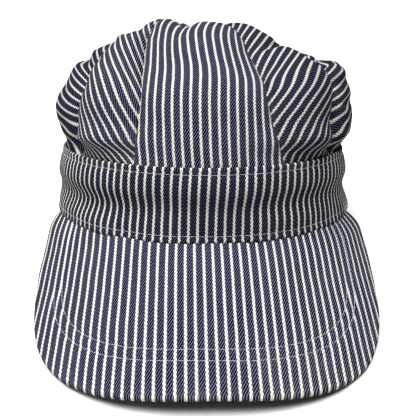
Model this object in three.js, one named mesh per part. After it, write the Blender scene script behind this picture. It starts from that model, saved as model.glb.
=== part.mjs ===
// A railroad engineer cap: eight sewn crown gores over a deep band, with a stiff curved brim.
// Millimetres. The cap's front points to -Y and its crown to +Z.
// The pieces are worked out in the band's own frame: X across, Y to the back, Z up from the band's
// lower edge. Left and right are those of a viewer in front of the cap. The finished cap leans back
// until the brim's corners and the back of the band rest on the ground together.
import * as THREE from "three";

// Band: an oval with a rounder front half, both halves meeting at the temples
const bandHalfWidth = 81;
const bandFrontLength = 84;
const bandBackLength = 124;
const bandHeight = 34;
const bandWall = 2;
const bandSwell = 1.6;
// Crown: gores from inside the band's top to the point where their seams meet
const goreCount = 8;
const crownWall = 1.4;
const crownRise = 66.5;
const crownTuck = 5;
const crownPointBehindFront = 117;
const crownTip = 0.985;
const gorePuff = 6;
const seamDip = 3;
const foldDepth = 4;
// Brim: an oval plate rolled down at its sides, opening a little towards its front edge
const brimRightWidth = 94.5;
const brimLeftWidth = 91;
const brimLength = 73.8;
const brimOvalLength = 107;
const brimOvalPower = 2.7;
const brimWall = 3;
const brimRightRadius = 136;
const brimLeftRadius = 126;
const brimRollOpening = 0.156;
const brimSlopeDegrees = 34;
const brimEaseLength = 14;
// Fits between the sewn pieces, and how far the band's back edge is pressed flat
const seamGap = 0.32;
const restPress = 1.2;
// Rows and columns of each sheet of cloth, and how often a value is closed in on
const bandGrid = { columns: 88, rows: 6 };
const brimGrid = { columns: 36, rows: 9 };
const goreGrid = { columns: 10, rows: 15 };
const closings = 30;

const brimSlope = THREE.MathUtils.degToRad(brimSlopeDegrees);

// How far the band's side stands off its oval, as shares of bandSwell, from its lower edge up
const bandSection = [
  { height: 0.0, front: 0.2, side: 1.4, back: 0.0 },
  { height: 0.15, front: -0.4, side: 0.8, back: 0.1 },
  { height: 0.4, front: -0.5, side: 0.3, back: 0.3 },
  { height: 0.65, front: 0.6, side: 0.3, back: 0.4 },
  { height: 0.85, front: 0.4, side: -0.7, back: 0.2 },
  { height: 1.0, front: 0.0, side: -1.5, back: 0.0 },
];

// The crown's section from the band's top to the meeting point, at the front, right, back and left:
// reach is a share of the way from the meeting point to the band, rise a share of crownRise
const crownSection = [
  { front: [1.0, 0.0], right: [1.0, 0.0], back: [1.0, 0.0], left: [1.0, 0.0] },
  { front: [0.972, 0.13], right: [1.045, 0.12], back: [1.01, 0.12], left: [0.995, 0.11] },
  { front: [0.94, 0.3], right: [1.075, 0.27], back: [1.03, 0.26], left: [1.045, 0.26] },
  { front: [0.912, 0.42], right: [1.065, 0.41], back: [1.02, 0.4], left: [1.035, 0.4] },
  { front: [0.865, 0.52], right: [1.025, 0.54], back: [0.96, 0.51], left: [0.975, 0.53] },
  { front: [0.795, 0.585], right: [0.955, 0.66], back: [0.86, 0.6], left: [0.895, 0.65] },
  { front: [0.7, 0.665], right: [0.79, 0.7], back: [0.74, 0.68], left: [0.76, 0.75] },
  { front: [0.59, 0.79], right: [0.62, 0.765], back: [0.6, 0.77], left: [0.59, 0.84] },
  { front: [0.46, 0.905], right: [0.46, 0.87], back: [0.45, 0.86], left: [0.44, 0.92] },
  { front: [0.32, 0.99], right: [0.31, 0.96], back: [0.3, 0.92], left: [0.3, 0.99] },
  { front: [0.16, 0.985], right: [0.15, 0.97], back: [0.15, 0.94], left: [0.15, 0.98] },
  { front: [0.0, 0.95], right: [0.0, 0.95], back: [0.0, 0.95], left: [0.0, 0.95] },
];

// Where the seams beside the front gore run on each side, and the next ones out, at each row of the
// section: turns from the front centre as shares of a gore's plain width
const crownSeams = [
  { left: [0.5, 1.06], right: [0.57, 1.13] },
  { left: [0.49, 1.1], right: [0.53, 1.08] },
  { left: [0.49, 1.13], right: [0.5, 1.12] },
  { left: [0.495, 1.14], right: [0.485, 1.19] },
  { left: [0.515, 1.18], right: [0.495, 1.27] },
  { left: [0.565, 1.28], right: [0.53, 1.25] },
  { left: [0.66, 1.42], right: [0.58, 1.36] },
  { left: [0.82, 1.54], right: [0.62, 1.48] },
  { left: [1.05, 1.64], right: [0.72, 1.58] },
  { left: [1.15, 1.68], right: [0.86, 1.64] },
  { left: [0.95, 1.6], right: [0.8, 1.6] },
  { left: [0.7, 1.5], right: [0.6, 1.5] },
];

// The eight gores round the crown: full is how far each stands out between its seams, as a share
// of gorePuff
const gores = [
  { name: "crown_front", number: 0, full: 0.35, color: "#3f486c" },
  { name: "crown_front_right", number: 1, full: 0.75, color: "#444d72" },
  { name: "crown_side_right", number: 2, full: 0.5, color: "#3d4669" },
  { name: "crown_back_right", number: 3, full: 0.8, color: "#444d72" },
  { name: "crown_back", number: 4, full: 0.7, color: "#3f486c" },
  { name: "crown_back_left", number: -3, full: 0.8, color: "#444d72" },
  { name: "crown_side_left", number: -2, full: 0.6, color: "#3d4669" },
  { name: "crown_front_left", number: -1, full: 0.95, color: "#444d72" },
];

// Soft folds and dents of the crown: turn is a share of the band's length from the front centre to
// the right, up a share of the section, along and across the fold's half sizes as shares of
// crownRise, lean its angle in degrees from the upward line, and depth a share of foldDepth
const crownFolds = [
  { turn: -0.11, up: 0.78, along: 0.3, across: 0.12, lean: 0, depth: 0.8 },
  { turn: -0.055, up: 0.86, along: 0.35, across: 0.09, lean: 0, depth: -0.9 },
  { turn: -0.125, up: 0.7, along: 0.3, across: 0.1, lean: -20, depth: 0.7 },
  { turn: 0.16, up: 0.5, along: 0.25, across: 0.2, lean: 30, depth: 0.8 },
  { turn: 0.1, up: 0.1, along: 0.4, across: 0.1, lean: 90, depth: 0.6 },
  { turn: -0.1, up: 0.1, along: 0.4, across: 0.1, lean: 90, depth: 0.6 },
  { turn: -0.3, up: 0.6, along: 0.3, across: 0.12, lean: 30, depth: -0.6 },
  { turn: 0.32, up: 0.62, along: 0.3, across: 0.12, lean: -25, depth: -0.6 },
  { turn: 0.47, up: 0.55, along: 0.3, across: 0.14, lean: 60, depth: -0.6 },
];
const foldTaper = 0.75;
const foldSettling = 0.08;

// How a gore fills out up its length and from seam to seam
const fullReach = 1.05;
const fullPower = 0.7;
const bulgePower = 0.8;

// The band's oval seen from above, from the middle of its back round past the left temple
const frontOval = new THREE.EllipseCurve(
  0, 0, bandHalfWidth, bandFrontLength, Math.PI, 2 * Math.PI,
);
const backRightOval = new THREE.EllipseCurve(
  0, 0, bandHalfWidth, bandBackLength, 0, Math.PI / 2,
);
const backLeftOval = new THREE.EllipseCurve(
  0, 0, bandHalfWidth, bandBackLength, Math.PI / 2, Math.PI,
);
const bandOval = new THREE.CurvePath();
bandOval.add(backLeftOval);
bandOval.add(frontOval);
bandOval.add(backRightOval);
const ovalDivisions = 400;
for (const arc of bandOval.curves) arc.arcLengthDivisions = ovalDivisions;

// Smooth value between table rows: Catmull-Rom through four neighbours
function smoothRow(rows, position, read) {
  const last = rows.length - 1;
  const i = Math.min(Math.floor(position), last - 1);
  const k = position - i;
  const at = (n) => read(rows[THREE.MathUtils.clamp(n, 0, last)]);
  const [a, b, c, d] = [at(i - 1), at(i), at(i + 1), at(i + 2)];
  return 0.5 * (2 * b + (c - a) * k + (2 * a - 5 * b + 4 * c - d) * k * k
    + (3 * b - a - 3 * c + d) * k * k * k);
}

// How much of each of four directions a turn holds: front 0, right 0.25, back 0.5, left -0.25
function directionShares(turn) {
  const across = Math.sin(2 * Math.PI * turn);
  const ahead = Math.cos(2 * Math.PI * turn);
  return {
    front: ahead > 0 ? ahead * ahead : 0,
    back: ahead < 0 ? ahead * ahead : 0,
    right: across > 0 ? across * across : 0,
    left: across < 0 ? across * across : 0,
  };
}

// A point on the band's side: turn round it, height above its lower edge, depth into the wall
function bandPoint(turn, height, depth) {
  const share = (((turn + 0.5) % 1) + 1) % 1;
  const spot = bandOval.getPointAt(share);
  const run = bandOval.getTangentAt(share);
  const part = directionShares(turn);
  const heightShare = THREE.MathUtils.clamp(height / bandHeight, 0, 1);
  const above = Math.max(1, bandSection.findIndex((row) => row.height >= heightShare));
  const below = bandSection[above - 1];
  const position = above - 1
    + (heightShare - below.height) / (bandSection[above].height - below.height);
  const swell = smoothRow(bandSection, position, (row) =>
    row.front * part.front + row.side * (part.right + part.left) + row.back * part.back);
  const out = bandSwell * swell - depth;
  return new THREE.Vector3(spot.x + run.y * out, spot.y - run.x * out, height);
}

// A point on the crown's smooth form, before its gores puff and fold
function crownForm(turn, up) {
  const part = directionShares(turn);
  const position = up * (crownSection.length - 1);
  const blend = (n) => smoothRow(crownSection, position, (row) =>
    row.front[n] * part.front + row.right[n] * part.right
      + row.back[n] * part.back + row.left[n] * part.left);
  const foot = bandPoint(turn, bandHeight, bandWall + seamGap);
  const point = new THREE.Vector3(0, crownPointBehindFront - bandFrontLength, 0);
  const place = point.lerp(new THREE.Vector3(foot.x, foot.y, 0), blend(0));
  place.z = bandHeight + crownRise * blend(1);
  return place;
}

// Outward direction of the smooth form, from points one step apart
function crownOutward(turn, up) {
  const step = 0.004;
  const high = Math.min(up + step, crownTip);
  const round = crownForm(turn + step, high).sub(crownForm(turn - step, high));
  const rising = crownForm(turn, high).sub(crownForm(turn, high - 2 * step));
  return round.cross(rising).normalize();
}

// The turn of a seam: 0.5 and 1.5 count seams to the right of the front, -0.5 and -1.5 to the left
function seamTurn(seam, up) {
  const beside = Math.floor(Math.abs(seam));
  if (beside > 1) return seam / goreCount;
  const position = up * (crownSeams.length - 1);
  const read = seam < 0 ? (row) => -row.left[beside] : (row) => row.right[beside];
  return smoothRow(crownSeams, position, read) / goreCount;
}

// How far a gore's cloth stands off the smooth form: full in its middle, drawn in at its seams
function goreRelief(gore, share, up) {
  const fromMiddle = Math.abs(2 * share - 1);
  const fullness = Math.sin(Math.PI * Math.min(1, fullReach * up)) ** fullPower;
  const bulge = Math.cos(fromMiddle * Math.PI / 2) ** bulgePower;
  return fullness * (gorePuff * gore.full * bulge - seamDip * (1 - bulge));
}

function foldRelief(turn, up) {
  const roundLength = bandOval.getLength() * (1 - foldTaper * up);
  const sectionLength = crownRise + bandHalfWidth;
  let relief = 0;
  for (const fold of crownFolds) {
    const turnAway = turn - fold.turn - Math.round(turn - fold.turn);
    const aside = turnAway * roundLength;
    const upward = (up - fold.up) * sectionLength;
    const angle = THREE.MathUtils.degToRad(fold.lean);
    const along = (upward * Math.cos(angle) + aside * Math.sin(angle)) / fold.along;
    const across = (aside * Math.cos(angle) - upward * Math.sin(angle)) / fold.across;
    relief += foldDepth * fold.depth * Math.exp(-(along ** 2 + across ** 2) / crownRise ** 2);
  }
  return relief;
}

function gorePoint(gore, share, up, depth) {
  const left = seamTurn(gore.number - 0.5, up);
  const right = seamTurn(gore.number + 0.5, up);
  const turn = left + (right - left) * share;
  const settled = Math.min(1, up / foldSettling) ** 2;
  const relief = goreRelief(gore, share, up) + settled * foldRelief(turn, up);
  return crownForm(turn, up).addScaledVector(crownOutward(turn, up), relief - depth);
}

// The brim's upper face: aside is the arc length from its centre line, ahead the distance from the
// band's front along its slope
function rolledPlate(aside, ahead, depth) {
  const radius = (aside > 0 ? brimRightRadius : brimLeftRadius) + brimRollOpening * ahead;
  const angle = aside / radius;
  const across = (radius - depth) * Math.sin(angle);
  const lift = (radius - depth) * Math.cos(angle) - radius;
  return new THREE.Vector3(
    across,
    -bandFrontLength - ahead * Math.cos(brimSlope) - lift * Math.sin(brimSlope),
    lift * Math.cos(brimSlope) - ahead * Math.sin(brimSlope),
  );
}

// Where the plate passes just under the band's lower edge
function brimRoot(aside) {
  let ahead = 0;
  for (let pass = 0; pass < closings; pass += 1) {
    const miss = rolledPlate(aside, ahead, 0).z + seamGap;
    ahead += miss / Math.sin(brimSlope);
  }
  return ahead;
}

function brimFront(aside) {
  const side = Math.abs(aside) / (aside > 0 ? brimRightWidth : brimLeftWidth);
  const oval = Math.cbrt(Math.max(0, 1 - side ** brimOvalPower));
  return brimLength - brimOvalLength * (1 - oval);
}

// The turn round the band whose direction from the origin is that of a point
function turnTowards(x, y) {
  let low = 0;
  let high = 0.5;
  const wanted = Math.atan2(Math.abs(x), -y);
  for (let pass = 0; pass < closings; pass += 1) {
    const middle = (low + high) / 2;
    const spot = bandPoint(middle, 0, 0);
    if (Math.atan2(spot.x, -spot.y) < wanted) low = middle;
    else high = middle;
  }
  return Math.sign(x) * (low + high) / 2;
}

// The brim follows the rolled plate, eased at its root to the line of the band's edge
const brimPulls = new Map();
function brimPull(aside) {
  if (!brimPulls.has(aside)) {
    const root = rolledPlate(aside, brimRoot(aside), 0);
    const seat = bandPoint(turnTowards(root.x, root.y), 0, bandWall / 2);
    brimPulls.set(aside, new THREE.Vector3(seat.x - root.x, seat.y - root.y, 0));
  }
  return brimPulls.get(aside);
}

function brimPoint(aside, share, depth) {
  const root = brimRoot(aside);
  const ahead = root + (brimFront(aside) - root) * share;
  const ease = Math.max(0, 1 - (ahead - root) / brimEaseLength) ** 2;
  return rolledPlate(aside, ahead, depth).addScaledVector(brimPull(aside), ease);
}

// A closed sheet of cloth: two faces of a grid of points, joined round its edges
function clothSheet({ columns, rows }, place, closed) {
  const across = closed ? columns : columns + 1;
  const layer = across * (rows + 1);
  const spots = [];
  for (const side of [0, 1]) {
    for (let j = 0; j <= rows; j += 1) {
      for (let i = 0; i < across; i += 1) spots.push(place(i / columns, j / rows, side));
    }
  }
  const at = (i, j, side) => side * layer + j * across + (i % across);
  const faces = [];
  const quad = (a, b, c, d) => faces.push(a, b, c, a, c, d);
  for (let i = 0; i < columns; i += 1) {
    for (let j = 0; j < rows; j += 1) {
      quad(at(i, j, 0), at(i + 1, j, 0), at(i + 1, j + 1, 0), at(i, j + 1, 0));
      quad(at(i, j, 1), at(i, j + 1, 1), at(i + 1, j + 1, 1), at(i + 1, j, 1));
    }
    quad(at(i, 0, 1), at(i + 1, 0, 1), at(i + 1, 0, 0), at(i, 0, 0));
    quad(at(i, rows, 0), at(i + 1, rows, 0), at(i + 1, rows, 1), at(i, rows, 1));
  }
  if (!closed) {
    for (let j = 0; j < rows; j += 1) {
      quad(at(0, j, 0), at(0, j + 1, 0), at(0, j + 1, 1), at(0, j, 1));
      quad(at(columns, j, 1), at(columns, j + 1, 1), at(columns, j + 1, 0), at(columns, j, 0));
    }
  }
  const geometry = new THREE.BufferGeometry().setFromPoints(spots);
  geometry.setIndex(faces);
  geometry.computeVertexNormals();
  return geometry;
}

const cap = new THREE.Group();

function addPiece(name, geometry, color) {
  const cloth = new THREE.MeshStandardMaterial({ color, roughness: 0.92, metalness: 0 });
  const piece = new THREE.Mesh(geometry, cloth);
  piece.name = name;
  cap.add(piece);
}

// The lean at which the brim's corners come down as far as the back edge, less what is pressed
function brimAside(share) {
  const side = Math.sin((share - 0.5) * Math.PI);
  return side * (side > 0 ? brimRightWidth : brimLeftWidth);
}
const brimUnderside = [];
for (let i = 0; i <= brimGrid.columns; i += 1) {
  for (let j = 0; j <= brimGrid.rows; j += 1) {
    brimUnderside.push(brimPoint(brimAside(i / brimGrid.columns), j / brimGrid.rows, brimWall));
  }
}
const heightAt = (spot, lean) => spot.z * Math.cos(lean) - spot.y * Math.sin(lean);
const brimLow = (lean) => Math.min(...brimUnderside.map((spot) => heightAt(spot, lean)));
const backLow = (lean) => -bandBackLength * Math.sin(lean);
let lean = 0;
let steepest = Math.PI / 4;
for (let pass = 0; pass < closings; pass += 1) {
  const middle = (lean + steepest) / 2;
  if (backLow(middle) + restPress > brimLow(middle)) lean = middle;
  else steepest = middle;
}
const ground = brimLow(lean);
cap.rotation.x = -lean;

// Points below the ground are pressed up on to it
function pressed(spot) {
  const under = ground - heightAt(spot, lean);
  if (under > 0) spot.z += under / Math.cos(lean);
  return spot;
}

function makeBand() {
  const place = (share, up, side) =>
    pressed(bandPoint(share - 0.5, up * bandHeight, side * bandWall));
  addPiece("band", clothSheet(bandGrid, place, true), "#3b4466");
}

function makeBrim() {
  const place = (share, up, side) =>
    brimPoint(brimAside(1 - share), up, side * brimWall);
  addPiece("brim", clothSheet(brimGrid, place, false), "#414a6e");
}

// One gore, between two seams, from its tuck inside the band to the meeting point
function makeGore(gore) {
  const tuckShare = 1 / goreGrid.rows;
  const place = (share, up, side) => {
    const height = Math.max(0, up - tuckShare) / (1 - tuckShare) * crownTip;
    const below = Math.max(0, tuckShare - up) / tuckShare * crownTuck;
    const width = gorePoint(gore, 0, height, 0).distanceTo(gorePoint(gore, 1, height, 0));
    const inset = 0.5 * seamGap / Math.max(width, 2 * seamGap);
    const across = inset + (1 - 2 * inset) * share;
    const spot = gorePoint(gore, across, height, side * crownWall);
    spot.z -= below;
    return spot;
  };
  addPiece(gore.name, clothSheet(goreGrid, place, false), gore.color);
}

makeBand();
makeBrim();
for (const gore of gores) makeGore(gore);

// The ground point under the middle of the cap becomes the part's origin
const cloth = new THREE.Group();
cloth.add(cap);
const extent = new THREE.Box3().setFromObject(cloth, true);
const middle = extent.getCenter(new THREE.Vector3());
cloth.position.set(-middle.x, -middle.y, -extent.min.z);

export default cloth;
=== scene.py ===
import math

import bpy
import numpy as np
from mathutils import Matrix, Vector


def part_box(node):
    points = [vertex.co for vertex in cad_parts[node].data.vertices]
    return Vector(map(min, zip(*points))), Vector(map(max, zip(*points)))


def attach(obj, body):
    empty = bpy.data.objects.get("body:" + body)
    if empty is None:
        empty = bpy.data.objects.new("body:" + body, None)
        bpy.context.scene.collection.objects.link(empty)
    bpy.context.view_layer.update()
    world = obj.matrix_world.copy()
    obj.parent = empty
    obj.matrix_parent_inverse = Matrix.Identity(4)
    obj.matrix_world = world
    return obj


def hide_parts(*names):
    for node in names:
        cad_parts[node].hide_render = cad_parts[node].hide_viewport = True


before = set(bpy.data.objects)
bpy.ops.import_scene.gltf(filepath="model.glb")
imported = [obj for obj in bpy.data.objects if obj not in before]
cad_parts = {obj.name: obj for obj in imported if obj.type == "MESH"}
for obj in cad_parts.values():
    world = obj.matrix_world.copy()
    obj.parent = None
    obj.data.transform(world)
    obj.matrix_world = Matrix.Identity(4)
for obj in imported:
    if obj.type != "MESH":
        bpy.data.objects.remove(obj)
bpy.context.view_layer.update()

# The cap as it stands. It is worked out in the band's own frame, X across, Y to the back and Z up
# from the band's lower edge, then leans back on its brim corners and the back of its band.
REST_LEAN = math.radians(11.22)
BAND_HALF_WIDTH = 0.081
BAND_FRONT_LENGTH = 0.084
BAND_BACK_LENGTH = 0.124
BAND_HEIGHT = 0.034
BAND_WALL = 0.002
BAND_SWELL = 0.0016
SEAM_GAP = 0.00032

OVAL_STEPS = 4000
OVAL_NEAR_TURN = 0.001
oval_angle = np.linspace(-math.pi, math.pi, OVAL_STEPS + 1)
oval_length = np.where(np.abs(oval_angle) <= math.pi / 2, BAND_FRONT_LENGTH, BAND_BACK_LENGTH)
oval_x = BAND_HALF_WIDTH * np.sin(oval_angle)
oval_y = -oval_length * np.cos(oval_angle)
oval_run = np.concatenate([[0], np.cumsum(np.hypot(np.diff(oval_x), np.diff(oval_y)))])
BAND_GIRTH = oval_run[-1]
oval_turn = oval_run / BAND_GIRTH - 0.5


def oval_spot(turn):
    """Place on the band's oval at a turn from the front centre, to the right."""
    near = (turn + 0.5) % 1 - 0.5
    return np.interp(near, oval_turn, oval_x), np.interp(near, oval_turn, oval_y)


def oval_outward(turn):
    """Direction straight out from the band's oval, found from the places just before and after."""
    x_after, y_after = oval_spot(turn + OVAL_NEAR_TURN)
    x_before, y_before = oval_spot(turn - OVAL_NEAR_TURN)
    run_x, run_y = x_after - x_before, y_after - y_before
    length = np.hypot(run_x, run_y)
    return run_y / length, -run_x / length


def smooth_rows(rows, position):
    """Catmull-Rom value between the rows of a table, at positions counted in rows."""
    rows = np.asarray(rows, float)
    last = len(rows) - 1
    low = np.clip(np.floor(position).astype(int), 0, last - 1)
    k = (position - low)[..., None]
    a, b, c, d = (rows[np.clip(low + n, 0, last)] for n in (-1, 0, 1, 2))
    steep = 2 * a - 5 * b + 4 * c - d
    return 0.5 * (2 * b + (c - a) * k + steep * k * k + (3 * b - a - 3 * c + d) * k**3)


def direction_shares(turn):
    """Shares of front, right, back and left in a turn."""
    across, ahead = np.sin(2 * math.pi * turn), np.cos(2 * math.pi * turn)
    return np.stack([
        np.where(ahead > 0, ahead**2, 0),
        np.where(across > 0, across**2, 0),
        np.where(ahead < 0, ahead**2, 0),
        np.where(across < 0, across**2, 0),
    ], -1)


# Stand-off of the band's side as shares of BAND_SWELL: height, front, side, back
BAND_SECTION = [
    (0.00, 0.2, 1.4, 0.0),
    (0.15, -0.4, 0.8, 0.1),
    (0.40, -0.5, 0.3, 0.3),
    (0.65, 0.6, 0.3, 0.4),
    (0.85, 0.4, -0.7, 0.2),
    (1.00, 0.0, -1.5, 0.0),
]


def band_point(turn, height, out):
    """A point on the band's side; out is the distance outwards from its face."""
    x, y = oval_spot(turn)
    nx, ny = oval_outward(turn)
    shares = direction_shares(turn)
    heights = [row[0] for row in BAND_SECTION]
    position = np.interp(np.clip(height / BAND_HEIGHT, 0, 1), heights, range(len(heights)))
    row = smooth_rows([r[1:] for r in BAND_SECTION], position)
    swell = (row[..., 0] * shares[..., 0] + row[..., 1] * (shares[..., 1] + shares[..., 3])
             + row[..., 2] * shares[..., 2])
    off = BAND_SWELL * swell + out
    return np.stack([x + nx * off, y + ny * off, height + 0 * x], -1)


def leaned(points):
    """From the band's frame to the cap's lean, about the same origin."""
    x, y, z = points[..., 0], points[..., 1], points[..., 2]
    sin, cos = math.sin(REST_LEAN), math.cos(REST_LEAN)
    return np.stack([x, y * cos + z * sin, z * cos - y * sin], -1)


# The band of the frame says where the leaning cap stands
STAND_TURNS = 401
STAND_HEIGHTS = 9
turn_grid, height_grid = np.meshgrid(np.linspace(-0.5, 0.5, STAND_TURNS),
                                     np.linspace(0, BAND_HEIGHT, STAND_HEIGHTS))
plain_band = leaned(band_point(turn_grid, height_grid, 0)).reshape(-1, 3)
band_low, band_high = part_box("band")
STAND = np.array([
    (band_low.x + band_high.x) / 2,
    band_low.y - plain_band[:, 1].min(),
    band_high.z - plain_band[:, 2].max(),
])


def placed(points):
    """From the band's frame to the finished cap's place, pressed flat where it meets the ground."""
    spots = leaned(points) + STAND
    spots[..., 2] = np.maximum(spots[..., 2], 0.0)
    return spots


# Camera, floor and soft light. The camera looks down on the front of the cap as it stands.
CAMERA_PLACE = np.array([-0.0037, -0.3517, 0.0883])
CAMERA_AIM = np.array([0.0015, -0.0840, 0.0167])
CAMERA_ROLL = math.radians(0.6)
CAMERA_LENS = 52.8
CAMERA_SENSOR = 36.0
CAMERA_NEAR = 0.01

camera_data = bpy.data.cameras.new("camera")
camera_data.lens = CAMERA_LENS
camera_data.sensor_width = CAMERA_SENSOR
camera_data.clip_start = CAMERA_NEAR
camera = bpy.data.objects.new("camera", camera_data)
bpy.context.collection.objects.link(camera)
camera_place = Vector(leaned(CAMERA_PLACE) + STAND)
camera_aim = Vector(leaned(CAMERA_AIM) + STAND)
camera.location = camera_place
looking = (camera_aim - camera_place).to_track_quat("-Z", "Y")
camera.rotation_euler = looking.to_euler()
camera.rotation_euler.rotate_axis("Z", CAMERA_ROLL)
bpy.context.scene.camera = camera

# Both ends of the tones are wanted, and a denoiser that doesn't smooth the weave away
bpy.context.scene.view_settings.view_transform = "Standard"
bpy.context.scene.view_settings.look = "High Contrast"
bpy.context.scene.cycles.denoising_prefilter = "NONE"

FLOOR_SIZE = 6.0
FLOOR_COLOUR = (0.64, 0.64, 0.64, 1)
FLOOR_ROUGHNESS = 0.9
bpy.ops.mesh.primitive_plane_add(size=FLOOR_SIZE, location=(0, 0, 0))
floor = bpy.context.object
floor.name = "floor"
floor_material = bpy.data.materials.new("pale_floor")
floor_material.use_nodes = True
floor_shader = floor_material.node_tree.nodes["Principled BSDF"]
floor_shader.inputs["Base Color"].default_value = FLOOR_COLOUR
floor_shader.inputs["Roughness"].default_value = FLOOR_ROUGHNESS
floor.data.materials.append(floor_material)

# The backdrop is paler as the camera sees it than the light it gives
WORLD_LIGHT = 0.06
BACKDROP_LIGHT = 1.0
world = bpy.data.worlds.new("studio")
world.use_nodes = True
backdrop = world.node_tree.nodes["Background"]
backdrop.inputs["Color"].default_value = (1, 1, 1, 1)
seen = world.node_tree.nodes.new("ShaderNodeLightPath")
strength = world.node_tree.nodes.new("ShaderNodeMapRange")
strength.inputs["To Min"].default_value = WORLD_LIGHT
strength.inputs["To Max"].default_value = BACKDROP_LIGHT
world.node_tree.links.new(seen.outputs["Is Camera Ray"], strength.inputs["Value"])
world.node_tree.links.new(strength.outputs["Result"], backdrop.inputs["Strength"])
bpy.context.scene.world = world

KEY_POWER = 5.3
KEY_ANGLE = math.radians(50)
KEY_COMES_FROM = Vector((-0.17, -0.15, 0.97))
key_data = bpy.data.lights.new("key_light", "SUN")
key_data.energy = KEY_POWER
key_data.angle = KEY_ANGLE
key_light = bpy.data.objects.new("key_light", key_data)
key_light.rotation_euler = KEY_COMES_FROM.to_track_quat("Z", "Y").to_euler()
bpy.context.collection.objects.link(key_light)

FILL_POWER = 2.0
FILL_SIZE = 0.9
FILL_PLACE = Vector((-0.5, -0.9, 0.9))
FILL_AIM = Vector((0, 0, 0.05))
fill_data = bpy.data.lights.new("fill_light", "AREA")
fill_data.shape = "DISK"
fill_data.size = FILL_SIZE
fill_data.energy = FILL_POWER
fill_light = bpy.data.objects.new("fill_light", fill_data)
fill_light.location = FILL_PLACE
fill_light.rotation_euler = (FILL_AIM - FILL_PLACE).to_track_quat("-Z", "Y").to_euler()
bpy.context.collection.objects.link(fill_light)

# Striped work cloth: indigo cotton twill with cream stripes, woven with steep diagonal ribs. Every
# piece carries its own lie of the cloth in the UV map "grain", in metres across and along the yarns.
STRIPE_PITCH = 0.0042
STRIPE_WIDTH = 0.29
STRIPE_FRAY = 0.06
STRIPE_BLUR = 0.025
STRIPE_WANDER = 0.05
STRIPE_STEP = 0.09
RIB_RISE = 0.0019
RIB_SLOPE = 1.65
RIB_WANDER = 0.15
TICK_FROM_RIB = (0.18, 0.07)
NOTCH_FROM_RIB = (0.34, 0.47)
NOTCH_DEPTH = 0.7
INDIGO = (0.002, 0.003, 0.014, 1)
INDIGO_TICK = (0.180, 0.190, 0.275, 1)
CREAM = (0.455, 0.445, 0.385, 1)
CREAM_SHADE = (0.12, 0.12, 0.135, 1)
PALE_BACK = (0.42, 0.45, 0.56, 1)
PALE_BACK_SHARE = 0.5
AGED = (0.62, 0.52, 0.30, 1)
AGED_SHARE = 0.12

# Unevenness of the cloth, as features to the metre: worn patches, wandering yarns and single flecks
PATCH_SCALE = 45.0
WANDER_SCALE = 160.0
FLECK_SCALE = 1700.0

# What a fleck or a patch does: the range of the noise, then the value at its low and at its high end
TICK_BY_FLECK = (0.30, 0.60, 0.60, 1.00)
CREAM_SHADE_BY_FLECK = (0.55, 0.85, 0.00, 0.20)
ROUGHNESS_BY_FLECK = (0.20, 0.80, 0.82, 0.96)
PALE_BY_PATCH = (0.35, 0.75, 0.00, 0.05)
AGED_BY_PATCH = (0.35, 0.70, 0.25, 1.00)

# How little the cloth shines, and the share of each part of the weave in its bump
CLOTH_SPECULAR = 0.06
BUMP_STRENGTH = 0.4
BUMP_HEIGHT = 0.0003
RIB_SHARE = 0.35
STRIPE_SHARE = 0.5
FLECK_SHARE = 0.35


class Weave:
    """Adds nodes to one material's tree and joins them as it goes."""

    def __init__(self, material):
        self.tree = material.node_tree
        self.nodes = material.node_tree.nodes

    def link(self, source, target):
        if isinstance(source, (int, float, tuple)):
            target.default_value = source
        else:
            self.tree.links.new(source, target)

    def math(self, operation, *values):
        node = self.nodes.new("ShaderNodeMath")
        node.operation = operation
        for value, socket in zip(values, node.inputs):
            self.link(value, socket)
        return node.outputs[0]

    def smooth(self, value, low, high, to_low=0.0, to_high=1.0):
        node = self.nodes.new("ShaderNodeMapRange")
        node.interpolation_type = "SMOOTHSTEP"
        for source, name in ((value, "Value"), (low, "From Min"), (high, "From Max"),
                             (to_low, "To Min"), (to_high, "To Max")):
            self.link(source, node.inputs[name])
        return node.outputs["Result"]

    def mix(self, factor, a, b):
        node = self.nodes.new("ShaderNodeMix")
        node.data_type = "RGBA"
        self.link(factor, node.inputs["Factor"])
        self.link(a, node.inputs["A"])
        self.link(b, node.inputs["B"])
        return node.outputs["Result"]

    def noise(self, vector, scale, detail):
        node = self.nodes.new("ShaderNodeTexNoise")
        self.link(vector, node.inputs["Vector"])
        node.inputs["Scale"].default_value = scale
        node.inputs["Detail"].default_value = detail
        return node.outputs["Fac"]


def toned(colour, share):
    """A colour made deeper or brighter."""
    return (colour[0] * share, colour[1] * share, colour[2] * share, 1)


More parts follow.
